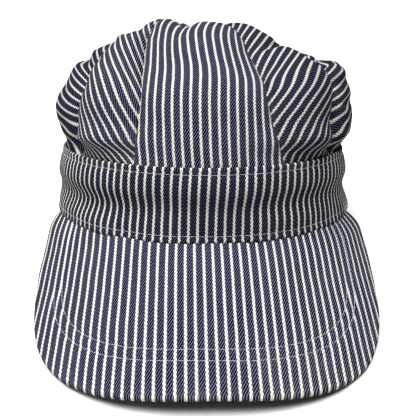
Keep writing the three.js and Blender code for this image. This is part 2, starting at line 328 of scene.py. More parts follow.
def striped_cloth(name, tick_share=1.0, cream_share=1.0, reverse=False):
    """The twill as a material; the shares say how bright its pale ticks and cream stripes are."""
    tick_colour = toned(INDIGO_TICK, tick_share)
    cream, cream_shade = toned(CREAM, cream_share), toned(CREAM_SHADE, cream_share)
    material = bpy.data.materials.new(name)
    material.use_nodes = True
    weave = Weave(material)
    shader = material.node_tree.nodes["Principled BSDF"]
    grain = weave.nodes.new("ShaderNodeUVMap")
    grain.uv_map = "grain"
    parts = weave.nodes.new("ShaderNodeSeparateXYZ")
    weave.link(grain.outputs["UV"], parts.inputs[0])
    across, along = parts.outputs["X"], parts.outputs["Y"]
    patch = weave.noise(grain.outputs["UV"], PATCH_SCALE, 4.0)
    wander = weave.noise(grain.outputs["UV"], WANDER_SCALE, 3.0)
    wander = weave.math("SUBTRACT", wander, 0.5)
    fleck = weave.noise(grain.outputs["UV"], FLECK_SCALE, 2.0)

    rib = weave.math("SUBTRACT", along, weave.math("MULTIPLY", across, RIB_SLOPE))
    rib = weave.math("DIVIDE", rib, RIB_RISE)
    rib = weave.math("ADD", rib, weave.math("MULTIPLY", wander, RIB_WANDER))
    rib_phase = weave.math("FRACT", rib)
    rib_wave = weave.math("SINE", weave.math("MULTIPLY", rib, 2 * math.pi))
    from_rib = weave.math("ABSOLUTE", weave.math("SUBTRACT", rib_phase, 0.5))

    stripe = weave.math("DIVIDE", across, STRIPE_PITCH)
    stripe = weave.math("ADD", stripe, weave.math("MULTIPLY", wander, STRIPE_WANDER))
    stripe = weave.math("ADD", stripe, weave.math("MULTIPLY", rib_phase, STRIPE_STEP))
    from_stripe = weave.math("ABSOLUTE", weave.math("SUBTRACT", weave.math("FRACT", stripe), 0.5))
    frayed = weave.math("MULTIPLY", fleck, STRIPE_FRAY)
    half = weave.math("ADD", STRIPE_WIDTH / 2 - STRIPE_FRAY / 2, frayed)
    beyond = weave.math("SUBTRACT", from_stripe, half)
    in_stripe = weave.smooth(beyond, STRIPE_BLUR, -STRIPE_BLUR)

    tick = weave.smooth(from_rib, *TICK_FROM_RIB)
    tick = weave.math("MULTIPLY", tick, weave.smooth(fleck, *TICK_BY_FLECK))
    dark = weave.mix(tick, INDIGO, tick_colour)
    dark = weave.mix(weave.smooth(patch, *PALE_BY_PATCH), dark, tick_colour)
    notch = weave.smooth(from_rib, *NOTCH_FROM_RIB)
    light = weave.mix(weave.math("MULTIPLY", notch, NOTCH_DEPTH), cream, cream_shade)
    light = weave.mix(weave.smooth(fleck, *CREAM_SHADE_BY_FLECK), light, cream_shade)
    if reverse:
        dark = weave.mix(PALE_BACK_SHARE, dark, PALE_BACK)
    colour = weave.mix(in_stripe, dark, light)

    age = weave.nodes.new("ShaderNodeAttribute")
    age.attribute_name = "age"
    aged = weave.math("MULTIPLY", age.outputs["Fac"], weave.smooth(patch, *AGED_BY_PATCH))
    colour = weave.mix(weave.math("MULTIPLY", aged, AGED_SHARE), colour, AGED)
    weave.link(colour, shader.inputs["Base Color"])

    weave.link(weave.smooth(fleck, *ROUGHNESS_BY_FLECK), shader.inputs["Roughness"])
    shader.inputs["Specular IOR Level"].default_value = CLOTH_SPECULAR

    height = weave.math("MULTIPLY", weave.math("ADD", rib_wave, 1.0), RIB_SHARE)
    height = weave.math("ADD", height, weave.math("MULTIPLY", in_stripe, STRIPE_SHARE))
    height = weave.math("ADD", height, weave.math("MULTIPLY", fleck, FLECK_SHARE))
    bump = weave.nodes.new("ShaderNodeBump")
    bump.inputs["Strength"].default_value = BUMP_STRENGTH
    bump.inputs["Distance"].default_value = BUMP_HEIGHT
    weave.link(height, bump.inputs["Height"])
    weave.link(bump.outputs["Normal"], shader.inputs["Normal"])
    return material


cloth_face = striped_cloth("striped_twill_face")
# Painted shade on the band: a copy of the twill whose dark stripes are deeper for the shade the band
# lies in, its cream a little brighter
cloth_band_painted_shade = striped_cloth("striped_twill_band_painted_shade", tick_share=0.65, cream_share=1.08)
# Painted shade: a darker copy of the twill, with dimmer pale ticks and cream, for the front right and
# side gores that lie in shade
cloth_painted_shade = striped_cloth("striped_twill_painted_shade", tick_share=0.6, cream_share=0.85)
cloth_reverse = striped_cloth("striped_twill_reverse", reverse=True)

# How every sewn piece is meshed: a face and a back with rounded rims between them, closed all
# round, with the cloth's lie on both.
RIM_POINTS = 3


def rounded_rim(start, finish, away):
    """Rows that turn from one edge to the other, bulging away from the cloth."""
    middle = (start + finish) / 2
    half = (start - finish) / 2
    reach = np.linalg.norm(half, axis=-1, keepdims=True)
    rows = []
    for step in range(1, RIM_POINTS + 1):
        angle = math.pi * step / (RIM_POINTS + 1)
        rows.append(middle + half * math.cos(angle) + away * reach * math.sin(angle))
    return rows


# The cloth bends as it lies mostly within this distance of a piece's foot
BEND_REACH = 0.09


def cloth_lie(across, along, start, turn, spread=1.0, bow=0.0, skew=0.0, sag=0.0):
    """Places on a piece told as places on its cloth: the stripes start aside, turn and bend a little."""
    turned = math.radians(turn)
    near = BEND_REACH * np.tanh(along / BEND_REACH)
    bend = bow * across**2 + skew * across * near + sag * near**2
    return np.stack([
        start + spread * (across * math.cos(turned) + along * math.sin(turned)) + bend,
        along * math.cos(turned) - across * math.sin(turned),
    ], -1)


def unit(vectors):
    """The same directions, one metre long."""
    return vectors / np.maximum(np.linalg.norm(vectors, axis=-1, keepdims=True), 1e-12)


def closing_strip(ring):
    """Faces across a ring of corners, in pairs of corners from its first and last ones inwards."""
    faces = []
    low, high = 0, len(ring) - 1
    while high - low > 1:
        if high - low == 2:
            faces.append((ring[low], ring[low + 1], ring[high]))
        else:
            faces.append((ring[low], ring[low + 1], ring[high - 1], ring[high]))
        low, high = low + 1, high - 1
    return faces


def cloth_piece(name, face, back, grain, age, girth, materials, node):
    """Builds a sewn piece in its CAD node's stead from grids of points.

    The girth is the length of its cloth where it closes on itself, or 0 where it doesn't.
    """
    top = rounded_rim(face[-1], back[-1], unit(face[-1] - face[-2]))
    bottom = rounded_rim(back[0], face[0], unit(face[0] - face[1]))
    rows = list(face) + top + list(back[::-1]) + bottom
    n = len(face)
    grain_rows = list(grain) + [grain[-1]] * RIM_POINTS + list(grain[::-1]) + [grain[0]] * RIM_POINTS
    age_rows = list(age) + [age[-1]] * RIM_POINTS + list(age[::-1]) + [age[0]] * RIM_POINTS
    loop = len(rows)
    points = placed(np.array(rows))
    columns = points.shape[1]
    corners = np.arange(loop * columns).reshape(loop, columns)
    faces, slots = [], []
    wide = columns if girth else columns - 1
    for j in range(loop):
        after = (j + 1) % loop
        inner = n + RIM_POINTS <= j < 2 * n + RIM_POINTS - 1
        for i in range(wide):
            beside = (i + 1) % columns
            faces.append((corners[j, i], corners[j, beside], corners[after, beside],
                          corners[after, i]))
            slots.append(1 if inner else 0)
    if not girth:
        rim_middle = n + RIM_POINTS // 2
        for i, flip in ((0, False), (columns - 1, True)):
            strip = closing_strip([corners[(rim_middle + j) % loop, i] for j in range(loop)])
            faces += [side if flip else side[::-1] for side in strip]
            slots += [0] * len(strip)
    mesh = bpy.data.meshes.new(name)
    mesh.from_pydata([tuple(p) for p in points.reshape(-1, 3)], [], faces)
    mesh.polygons.foreach_set("use_smooth", [True] * len(faces))
    mesh.polygons.foreach_set("material_index", slots)
    uv = mesh.uv_layers.new(name="grain")
    flat_grain = np.array(grain_rows).reshape(-1, 2)
    corner_vertex = np.empty(len(mesh.loops), int)
    mesh.loops.foreach_get("vertex_index", corner_vertex)
    uvs = flat_grain[corner_vertex]
    if girth:
        starts = np.empty(len(mesh.polygons), int)
        counts = np.empty(len(mesh.polygons), int)
        mesh.polygons.foreach_get("loop_start", starts)
        mesh.polygons.foreach_get("loop_total", counts)
        for start, count in zip(starts, counts):
            spread = uvs[start:start + count, 0]
            if spread.max() - spread.min() > girth / 2:
                spread[spread < 0] += girth
    uv.data.foreach_set("uv", uvs.reshape(-1))
    ageing = mesh.attributes.new("age", "FLOAT", "POINT")
    ageing.data.foreach_set("value", np.array(age_rows).reshape(-1))
    for material in materials:
        mesh.materials.append(material)
    mesh.validate()
    piece = bpy.data.objects.new(name, mesh)
    bpy.context.collection.objects.link(piece)
    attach(piece, "root")
    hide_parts(node)


# Rumples of soft cloth: a few crossing waves of chosen lengths, the same on every run
RUMPLE_SEED = 11
RUMPLE_LENGTHS = (0.012, 0.016, 0.021, 0.027, 0.034, 0.045, 0.060)
RUMPLE_WAYS = 3
RUMPLE_MIDDLE_LENGTH = 0.03
RUMPLE_POWER = 0.8
RUMPLE_TOTAL = 6
rumple_random = np.random.default_rng(RUMPLE_SEED)
RUMPLE_WAVES = [
    (length, rumple_random.uniform(0, math.pi), rumple_random.uniform(0, 2 * math.pi))
    for length in RUMPLE_LENGTHS for _ in range(RUMPLE_WAYS)
]


def rumples(across, along):
    """Uneven height of soft cloth, about -1 to 1."""
    total = 0
    for length, heading, phase in RUMPLE_WAVES:
        way = across * math.cos(heading) + along * math.sin(heading)
        strength = (length / RUMPLE_MIDDLE_LENGTH) ** RUMPLE_POWER
        total = total + strength * np.sin(2 * math.pi * way / length + phase)
    return total / RUMPLE_TOTAL


# Band: a deep doubled strip of the cloth with upright stripes, lapped over the crown's lower edge
# and the brim's root, and topstitched near both of its edges.
BAND_COLUMNS = 560
BAND_ROWS = 26
BAND_STITCH_LOW = 0.0026
BAND_STITCH_HIGH = 0.0318
STITCH_SINK = 0.0004
STITCH_SINK_WIDTH = 0.0011
BAND_RUMPLE = 0.0004
BAND_RUMPLE_LEAN = (0.7, -0.4)
BAND_CALM_HEIGHT = 0.006
BAND_CALM_FOOT = 0.003
BAND_PUCKER = 0.00012
BAND_PUCKER_LENGTH = 0.0061
BAND_PUCKER_HEIGHT = 0.004
BAND_SPREAD = 0.985
BAND_WEAR = 0.15
EDGE_WEAR_WIDTH = 0.002

# Dents and rolls of the band: turn, height, half length as a turn, half height, depth, where heights
# are shares of the band's and depths are outwards
BAND_DENTS = [
    (-0.125, 0.42, 0.060, 0.17, -0.0026),
    (-0.125, 0.12, 0.060, 0.12, 0.0008),
    (-0.030, 0.55, 0.040, 0.20, -0.0010),
    (0.105, 0.50, 0.060, 0.18, -0.0018),
    (0.060, 0.25, 0.040, 0.15, 0.0007),
    (0.190, 0.36, 0.040, 0.20, -0.0016),
    (0.190, 0.02, 0.045, 0.18, 0.0010),
    (0.470, 0.50, 0.080, 0.22, -0.0016),
]


def band_dents(turn, height):
    """How far outwards the dents move the band, fading at its edges."""
    dents = 0
    for dent_turn, dent_height, half_length, half_height, depth in BAND_DENTS:
        along = (turn - dent_turn - np.round(turn - dent_turn)) / half_length
        up = (height / BAND_HEIGHT - dent_height) / half_height
        dents = dents + depth * np.exp(-(along**2) - up**2)
    calm_top = np.clip((BAND_HEIGHT - height) / BAND_CALM_HEIGHT, 0, 1)
    calm_foot = np.clip(height / BAND_CALM_FOOT, 0, 1)
    return dents * (calm_top * calm_foot)


def band_relief(turn, height):
    """Dents, rumples and puckers of the band's face, sunk along its stitches."""
    run = turn * BAND_GIRTH
    sink = 0
    for level in (BAND_STITCH_LOW, BAND_STITCH_HIGH):
        sink = sink + np.exp(-(((height - level) / STITCH_SINK_WIDTH) ** 2))
    round_x = BAND_GIRTH / (2 * math.pi) * np.cos(2 * math.pi * turn)
    round_y = BAND_GIRTH / (2 * math.pi) * np.sin(2 * math.pi * turn)
    lean_x, lean_y = BAND_RUMPLE_LEAN
    soft = rumples(round_x + height * lean_x, round_y + height * lean_y)
    beside_stitches = np.exp(-((height - BAND_STITCH_LOW) / BAND_PUCKER_HEIGHT) ** 2)
    pucker = np.sin(2 * math.pi * run / BAND_PUCKER_LENGTH + 2 * soft) * beside_stitches
    calm = np.clip((BAND_HEIGHT - height) / BAND_CALM_HEIGHT, 0, 1)
    soft_part = BAND_RUMPLE * soft * calm + BAND_PUCKER * pucker
    return soft_part + band_dents(turn, height) - STITCH_SINK * sink


turns = np.arange(BAND_COLUMNS) / BAND_COLUMNS - 0.5
levels = np.linspace(0.0, 1.0, BAND_ROWS + 1) * BAND_HEIGHT
turn_grid, height_grid = np.meshgrid(turns, levels)
band_face = band_point(turn_grid, height_grid, band_relief(turn_grid, height_grid))
band_back = band_point(turn_grid, height_grid, band_dents(turn_grid, height_grid) - BAND_WALL)
band_grain = cloth_lie(turn_grid * BAND_GIRTH, height_grid, start=0.0010, turn=0, spread=BAND_SPREAD,
                       bow=-0.3, sag=-1.2)
foot_wear = np.exp(-(height_grid / EDGE_WEAR_WIDTH))
top_wear = np.exp(-(BAND_HEIGHT - height_grid) / EDGE_WEAR_WIDTH)
# The band wears the copy of the twill with painted shade in its deeper dark stripes.
cloth_piece("band_cloth", band_face, band_back, band_grain, BAND_WEAR * (foot_wear + top_wear),
            BAND_SPREAD * BAND_GIRTH, [cloth_band_painted_shade, cloth_reverse], "band")

# Brim: two layers of the cloth over a stiff board, rolled down at its sides, stripes fore and aft.
# Its root lies under the band's lower edge.
BRIM_RIGHT_WIDTH = 0.0945
BRIM_LEFT_WIDTH = 0.091
BRIM_LENGTH = 0.0738
BRIM_OVAL_LENGTH = 0.107
BRIM_OVAL_POWER = 2.7
BRIM_WALL = 0.003
BRIM_RIGHT_RADIUS = 0.136
BRIM_LEFT_RADIUS = 0.126
BRIM_ROLL_OPENING = 0.156
BRIM_SLOPE = math.radians(34)
BRIM_EASE_LENGTH = 0.014
BRIM_DRAW_IN = 0.0010
BRIM_DRAW_LENGTH = 0.025
BRIM_COLUMNS = 200
BRIM_ROWS = 90
BRIM_ROW_POWER = 1.15
BRIM_RUMPLE = 0.00022
BRIM_RUMPLE_PLACE = (0.2, -0.1)
BRIM_RUMPLE_CLOSER = 1.1
BRIM_ROOT_TRIES = 6


def rolled_plate(aside, ahead, out):
    """A point of the endless rolled and sloping plate that the brim is cut from."""
    rolled = np.where(aside > 0, BRIM_RIGHT_RADIUS, BRIM_LEFT_RADIUS)
    radius = rolled + BRIM_ROLL_OPENING * ahead
    angle = aside / radius
    across = (radius + out) * np.sin(angle)
    lift = (radius + out) * np.cos(angle) - radius
    return np.stack([
        across,
        -BAND_FRONT_LENGTH - ahead * math.cos(BRIM_SLOPE) - lift * math.sin(BRIM_SLOPE),
        lift * math.cos(BRIM_SLOPE) - ahead * math.sin(BRIM_SLOPE),
    ], -1)


def brim_root(aside):
    """How far ahead the plate comes up to the band's lower edge, neared step by step."""
    ahead = np.zeros_like(aside)
    for _ in range(BRIM_ROOT_TRIES):
        ahead = ahead + (rolled_plate(aside, ahead, 0)[..., 2] + SEAM_GAP) / math.sin(BRIM_SLOPE)
    return ahead


def brim_front(aside):
    """How far ahead the brim's front edge is."""
    side = np.where(aside > 0, aside / BRIM_RIGHT_WIDTH, -aside / BRIM_LEFT_WIDTH)
    oval = np.cbrt(np.maximum(0, 1 - np.abs(side) ** BRIM_OVAL_POWER))
    return BRIM_LENGTH - BRIM_OVAL_LENGTH * (1 - oval)


# The line that the brim's root follows under the band
SEAT_TURN = 0.4
SEAT_STEPS = 3000
seat_turns = np.linspace(-SEAT_TURN, SEAT_TURN, SEAT_STEPS + 1)
seat_line = band_point(seat_turns, np.zeros_like(seat_turns), -BAND_WALL / 2)
seat_angles = np.arctan2(seat_line[:, 0], -seat_line[:, 1])


def brim_point(aside, ahead, out):
    """A point of the brim, eased at its root to the band's edge and drawn in a little on the right."""
    root_ahead = brim_root(aside)
    root = rolled_plate(aside, root_ahead, 0)
    angle = np.arctan2(root[..., 0], -root[..., 1])
    pull_x = np.interp(angle, seat_angles, seat_line[:, 0]) - root[..., 0]
    pull_y = np.interp(angle, seat_angles, seat_line[:, 1]) - root[..., 1]
    ease = np.maximum(0, 1 - (ahead - root_ahead) / BRIM_EASE_LENGTH) ** 2
    spot = rolled_plate(aside, ahead, out)
    drawn = np.clip(aside / BRIM_RIGHT_WIDTH, 0, 1) ** 4 * (1 - ease)
    drawn = drawn * np.exp(-((np.maximum(ahead, 0) / BRIM_DRAW_LENGTH) ** 2))
    spot[..., 0] += pull_x * ease - BRIM_DRAW_IN * drawn
    spot[..., 1] += pull_y * ease
    return spot


# Topstitched rows of the brim: half width and length of each row's oval
BRIM_STITCH_ROWS = [(0.0760, 0.0590), (0.0715, 0.0539)]
STITCH_OVAL_POWERS = (2.5, 2.44)


def row_distance(aside, ahead, half_width, length):
    """How far inside a stitched row's oval a point lies, roughly, in metres."""
    a, b = STITCH_OVAL_POWERS
    x = np.abs(aside) / half_width
    y = np.maximum(ahead, 0) / length
    total = np.maximum(x**a + y**b, 1e-9)
    slope = np.hypot(a * x ** (a - 1) / half_width, b * y ** (b - 1) / length)
    return (1 - total) / np.maximum(slope, 1e-6)


def brim_relief(aside, ahead):
    """Rumples of the brim's face, sunk along its stitches."""
    sink = 0
    for half_width, length in BRIM_STITCH_ROWS:
        off = row_distance(aside, ahead, half_width, length)
        sink = sink + np.exp(-((off / STITCH_SINK_WIDTH) ** 2))
    from_aside, from_ahead = BRIM_RUMPLE_PLACE
    soft = rumples(aside + from_aside, ahead * BRIM_RUMPLE_CLOSER + from_ahead)
    return BRIM_RUMPLE * soft - STITCH_SINK * sink


brim_share = np.linspace(-1, 1, BRIM_COLUMNS + 1)
brim_width = np.where(brim_share > 0, BRIM_RIGHT_WIDTH, BRIM_LEFT_WIDTH)
brim_aside = brim_width * np.sin(brim_share * math.pi / 2)
depth_share = np.linspace(0, 1, BRIM_ROWS + 1)
depth_share = 1 - (1 - depth_share) ** BRIM_ROW_POWER
aside_grid, share_grid = np.meshgrid(brim_aside, depth_share[::-1])
root_grid = brim_root(aside_grid)
ahead_grid = root_grid + (brim_front(aside_grid) - root_grid) * share_grid
brim_face = brim_point(aside_grid, ahead_grid, brim_relief(aside_grid, ahead_grid))
brim_back = brim_point(aside_grid, ahead_grid, -BRIM_WALL)
brim_grain = cloth_lie(aside_grid, -ahead_grid, start=0.0025, turn=1)

# Wear where a hand takes the brim, a little right of its middle, and along its edge
HAND_WEAR = 0.5
HAND_WEAR_LENGTH = 0.012
HAND_WEAR_ASIDE = 0.03
HAND_WEAR_WIDTH = 0.03
BRIM_EDGE_WEAR = 0.2
edge_distance = brim_front(aside_grid) - ahead_grid
hand_wear = np.exp(-edge_distance / HAND_WEAR_LENGTH)
hand_wear = hand_wear * np.exp(-((aside_grid - HAND_WEAR_ASIDE) / HAND_WEAR_WIDTH) ** 2)
brim_age = HAND_WEAR * hand_wear + BRIM_EDGE_WEAR * np.exp(-edge_distance / EDGE_WEAR_WIDTH)
cloth_piece("brim_cloth", brim_face, brim_back, brim_grain, brim_age, 0,
            [cloth_face, cloth_face], "brim")

# Crown: eight gores of the cloth sewn side to side, each cut with its stripes fore and aft on the
# finished cap, full between the seams and softly creased where the cloth is slack.
GORE_COUNT = 8
CROWN_WALL = 0.0014
CROWN_RISE = 0.0665
CROWN_TUCK = 0.005
CROWN_POINT_BEHIND_FRONT = 0.117
GORE_PUFF = 0.006
SEAM_DIP = 0.003
FOLD_DEPTH = 0.004
FOLD_TAPER = 0.75
FOLD_SETTLING = 0.08
FULL_REACH = 1.05
FULL_POWER = 0.7
BULGE_POWER = 0.8

# Reach and rise of the crown's section at the front, right, back and left
CROWN_SECTION = [
    ((1.0, 0.0), (1.0, 0.0), (1.0, 0.0), (1.0, 0.0)),
    ((0.972, 0.13), (1.045, 0.12), (1.01, 0.12), (0.995, 0.11)),
    ((0.94, 0.3), (1.075, 0.27), (1.03, 0.26), (1.045, 0.26)),
    ((0.912, 0.42), (1.065, 0.41), (1.02, 0.4), (1.035, 0.4)),
    ((0.865, 0.52), (1.025, 0.54), (0.96, 0.51), (0.975, 0.53)),
    ((0.795, 0.585), (0.955, 0.66), (0.86, 0.6), (0.895, 0.65)),
    ((0.7, 0.665), (0.79, 0.7), (0.74, 0.68), (0.76, 0.75)),
    ((0.59, 0.79), (0.62, 0.765), (0.6, 0.77), (0.59, 0.84)),
    ((0.46, 0.905), (0.46, 0.87), (0.45, 0.86), (0.44, 0.92)),
    ((0.32, 0.99), (0.31, 0.96), (0.3, 0.92), (0.3, 0.99)),
    ((0.16, 0.985), (0.15, 0.97), (0.15, 0.94), (0.15, 0.98)),
    ((0.0, 0.95), (0.0, 0.95), (0.0, 0.95), (0.0, 0.95)),
]

# Turns of the seams beside the front gore and the next ones out, on the left and on the right, as
# shares of a plain gore's width
LEFT_SEAMS = [
    (0.50, 1.06), (0.49, 1.10), (0.49, 1.13), (0.495, 1.14), (0.515, 1.18), (0.565, 1.28),
    (0.66, 1.42), (0.82, 1.54), (1.05, 1.64), (1.15, 1.68), (0.95, 1.6), (0.7, 1.5),
]
RIGHT_SEAMS = [
    (0.57, 1.13), (0.53, 1.08), (0.50, 1.12), (0.485, 1.19), (0.495, 1.27), (0.53, 1.25),
    (0.58, 1.36), (0.62, 1.48), (0.72, 1.58), (0.86, 1.64), (0.8, 1.6), (0.6, 1.5),
]

# Folds and dents: turn, up, half length, half width, lean in degrees, depth
CROWN_FOLDS = [
    (-0.11, 0.78, 0.30, 0.12, 0, 0.8),
    (-0.055, 0.86, 0.35, 0.09, 0, -0.9),
    (-0.125, 0.70, 0.30, 0.10, -20, 0.7),
    (0.16, 0.50, 0.25, 0.20, 30, 0.8),
    (0.12, 0.11, 0.50, 0.10, 90, 1.0),
    (-0.12, 0.11, 0.50, 0.10, 90, 1.0),
    (-0.30, 0.60, 0.30, 0.12, 30, -0.6),
    (0.32, 0.62, 0.30, 0.12, -25, -0.6),
    (0.47, 0.55, 0.30, 0.14, 60, -0.6),
    (-0.200, 0.482, 0.30, 0.055, 90, -1.1),
    (-0.142, 0.615, 0.20, 0.05, 90, 0.4),
    (-0.143, 0.700, 0.20, 0.07, 90, -0.6),
    (-0.082, 0.835, 0.15, 0.06, 90, -0.5),
    (0.205, 0.494, 0.30, 0.055, 90, -1.3),
    (0.200, 0.400, 0.30, 0.06, 90, 0.4),
    (0.126, 0.640, 0.20, 0.05, 90, -0.9),
    (-0.200, 0.330, 0.30, 0.18, 90, -0.6),
    (0.190, 0.250, 0.30, 0.06, 90, -0.4),
]


def crown_form(turn, up):
    """The crown's smooth form, before its gores fill out and fold."""
    shares = direction_shares(turn)
    table = np.array(CROWN_SECTION, float).reshape(len(CROWN_SECTION), -1)
    values = smooth_rows(table, up * (len(CROWN_SECTION) - 1))
    reach = (values[..., 0::2] * shares).sum(-1)
    rise = (values[..., 1::2] * shares).sum(-1)
    foot = band_point(turn, np.full_like(turn, BAND_HEIGHT), -(BAND_WALL + SEAM_GAP))
    centre_y = CROWN_POINT_BEHIND_FRONT - BAND_FRONT_LENGTH
    return np.stack([
        foot[..., 0] * reach,
        centre_y + (foot[..., 1] - centre_y) * reach,
        BAND_HEIGHT + CROWN_RISE * rise,
    ], -1)


CROWN_NEAR_STEP = 0.004
CROWN_TIP = 0.985


def crown_outward(turn, up):
    """Direction straight out from the crown's form, found from places beside and below."""
    high = np.minimum(up + CROWN_NEAR_STEP, CROWN_TIP)
    round_way = crown_form(turn + CROWN_NEAR_STEP, high) - crown_form(turn - CROWN_NEAR_STEP, high)
    rising = crown_form(turn, high) - crown_form(turn, high - 2 * CROWN_NEAR_STEP)
    return unit(np.cross(round_way, rising))


def seam_turn(seam, up):
    """Where a seam runs, the first two on each side by the tables and the others straight."""
    count = abs(seam)
    if count > 2:
        return np.full_like(up, seam / GORE_COUNT)
    table = LEFT_SEAMS if seam < 0 else RIGHT_SEAMS
    column = smooth_rows(table, up * (len(table) - 1))[..., 0 if count < 1 else 1]
    return math.copysign(1, seam) * column / GORE_COUNT


def fold_relief(turn, up):
    """How far outwards the folds and dents move the crown."""
    round_length = BAND_GIRTH * (1 - FOLD_TAPER * up)
    section_length = CROWN_RISE + BAND_HALF_WIDTH
    relief = 0
    for fold_turn, fold_up, along_half, across_half, lean, depth in CROWN_FOLDS:
        away = turn - fold_turn - np.round(turn - fold_turn)
        aside = away * round_length
        upward = (up - fold_up) * section_length
        angle = math.radians(lean)
        along = (upward * math.cos(angle) + aside * math.sin(angle)) / (along_half * CROWN_RISE)
        across = (aside * math.cos(angle) - upward * math.sin(angle)) / (across_half * CROWN_RISE)
        relief = relief + FOLD_DEPTH * depth * np.exp(-(along**2) - across**2)
    return relief


GORE_COLUMNS = 84
GORE_ROWS = 110
TUCK_ROWS = 5
GORE_TIP = 0.992
SEAM_CREASE = 0.0011
SEAM_CREASE_WIDTH = 0.0012
OUTER_CREASE = 0.0050
OUTER_CREASE_WIDTH = 0.0045
SEAM_PUCKER = 0.00025
SEAM_PUCKER_LENGTH = 0.0058
SEAM_PUCKER_WIDTH = 0.0035
SEAM_WEAR = 0.3
CROWN_RUMPLE = 0.00055
CALM_AT_FOOT = 0.08
CALM_AT_TIP = 0.1


def gore_face(number, full, share, up):
    """Turns of a gore's face, and how far it stands off the crown's form."""
    left, right = seam_turn(number - 0.5, up), seam_turn(number + 0.5, up)
    turn = left + (right - left) * share
    from_middle = np.abs(2 * share - 1)
    fullness = np.sin(math.pi * np.minimum(1, FULL_REACH * up)) ** FULL_POWER
    bulge = np.maximum(0, np.cos(from_middle * math.pi / 2)) ** BULGE_POWER
    relief = fullness * (GORE_PUFF * full * bulge - SEAM_DIP * (1 - bulge))
    relief = relief + np.minimum(1, up / FOLD_SETTLING) ** 2 * fold_relief(turn, up)
    return turn, relief


def make_gore(name, number, full, outside, *lie):
    """Sews one gore, from the tuck under the band to the crown's point."""
    even = np.linspace(0, 1, GORE_COLUMNS + 1)
    share = 0.5 * even + 0.5 * (1 - np.cos(math.pi * even)) / 2
    shown_rows = GORE_ROWS + 1 - TUCK_ROWS
    up = np.concatenate([np.zeros(TUCK_ROWS), np.linspace(0, GORE_TIP, shown_rows)])
    tuck = np.concatenate([np.linspace(CROWN_TUCK, 0, TUCK_ROWS, endpoint=False),
                           np.zeros(shown_rows)])
    share_grid, up_grid = np.meshgrid(share, up)
    tuck_grid = np.repeat(tuck[:, None], len(share), 1)
    turn_grid, relief = gore_face(number, full, share_grid, up_grid)
    base = crown_form(turn_grid, up_grid)
    outward = crown_outward(turn_grid, up_grid)
    smooth = base + outward * relief[..., None]
    smooth[..., 2] -= tuck_grid

    across_steps = np.linalg.norm(np.diff(smooth, axis=1), axis=-1)
    across = np.concatenate([np.zeros((len(up), 1)), np.cumsum(across_steps, axis=1)], 1)
    middle = np.array([np.interp(0.5, share, row) for row in across])
    width = across[:, -1:]
    across = across - middle[:, None]
    centre_line = np.array([
        [np.interp(0.5, share, smooth[j, :, n]) for n in range(3)] for j in range(len(up))
    ])
    along = np.concatenate([[0], np.cumsum(np.linalg.norm(np.diff(centre_line, axis=0), axis=1))])
    along_grid = np.repeat(along[:, None], len(share), 1)

    from_seam = np.minimum(share_grid, 1 - share_grid) * width
    soft = rumples(smooth[..., 0] + smooth[..., 2], smooth[..., 1] - 0.5 * smooth[..., 2])
    calm = np.clip(up_grid / CALM_AT_FOOT, 0, 1) * np.clip((1 - up_grid) / CALM_AT_TIP, 0, 1)
    pucker = np.sin(2 * math.pi * along_grid / SEAM_PUCKER_LENGTH + 3 * soft)
    pucker = pucker * np.exp(-from_seam / SEAM_PUCKER_WIDTH)
    crease = 0
    for seam, away in ((number - 0.5, share_grid * width),
                       (number + 0.5, (1 - share_grid) * width)):
        if abs(seam) == 1.5:
            crease = crease + OUTER_CREASE * np.exp(-away / OUTER_CREASE_WIDTH)
        else:
            crease = crease + SEAM_CREASE * np.exp(-away / SEAM_CREASE_WIDTH)
    fine = (CROWN_RUMPLE * soft + SEAM_PUCKER * pucker - crease) * calm
    face = smooth + outward * fine[..., None]
    back = face - outward * CROWN_WALL

    grain = cloth_lie(across, along_grid, *lie)
    age = SEAM_WEAR * np.exp(-from_seam / EDGE_WEAR_WIDTH)
    cloth_piece(name + "_cloth", face, back, grain, age, 0, [outside, cloth_reverse], name)


# Gores: name, eighths round from the front, fullness, outside cloth, and the cloth's start, turn,
# spread, bow, skew and sag. The ones behind, which are cut alike, keep plain turns.
# The front right and both side gores wear the darker copy of the twill, which is painted shade for where
# they lie in shade.
GORES = [
    ("crown_front", 0, 0.35, cloth_face, 0.0014, -3.0, 1.0, 0.1, -0.6, 0.0),
    ("crown_front_right", 1, 0.75, cloth_painted_shade, 0.0006, -42.5, 1.23, -2.5, -7.0, 3.8),
    ("crown_side_right", 2, 0.5, cloth_painted_shade, 0.0030, -63.5, 1.12, 0.0, -7.7, 0.0),
    ("crown_back_right", 3, 0.8, cloth_face, 0.0, -135.0, 1.0, 0.0, 0.0, 0.0),
    ("crown_back", 4, 0.7, cloth_face, 0.0, 180.0, 1.0, 0.0, 0.0, 0.0),
    ("crown_back_left", -3, 0.8, cloth_face, 0.0, 135.0, 1.0, 0.0, 0.0, 0.0),
    ("crown_side_left", -2, 0.6, cloth_painted_shade, 0.0040, 73.5, 0.66, 1.1, -1.6, 5.3),
    ("crown_front_left", -1, 0.95, cloth_face, 0.0026, 45.5, 1.61, -2.1, -7.1, -10.4),
]
for gore_name, gore_number, gore_full, gore_cloth, *gore_lie in GORES:
    make_gore(gore_name, gore_number, gore_full, gore_cloth, *gore_lie)

# Topstitching: light cotton thread in short even stitches, sunk a little into the cloth. Each row
# is a path on the cloth, and Geometry Nodes lay a stitch at every step along it.
STITCH_PITCH = 0.0029
STITCH_LENGTH = 0.0032
THREAD_RADIUS = 0.00014
THREAD_COLOUR = (0.42, 0.43, 0.46, 1)
TWIST_COLOUR = (0.28, 0.29, 0.33, 1)
TWIST_SCALE = 2500.0
THREAD_ROUGHNESS = 0.7
THREAD_LIFT = 0.00008
STITCH_SEGMENTS = 7
STITCH_RINGS = 5
STITCH_UNEVEN = (0.88, 1.08)

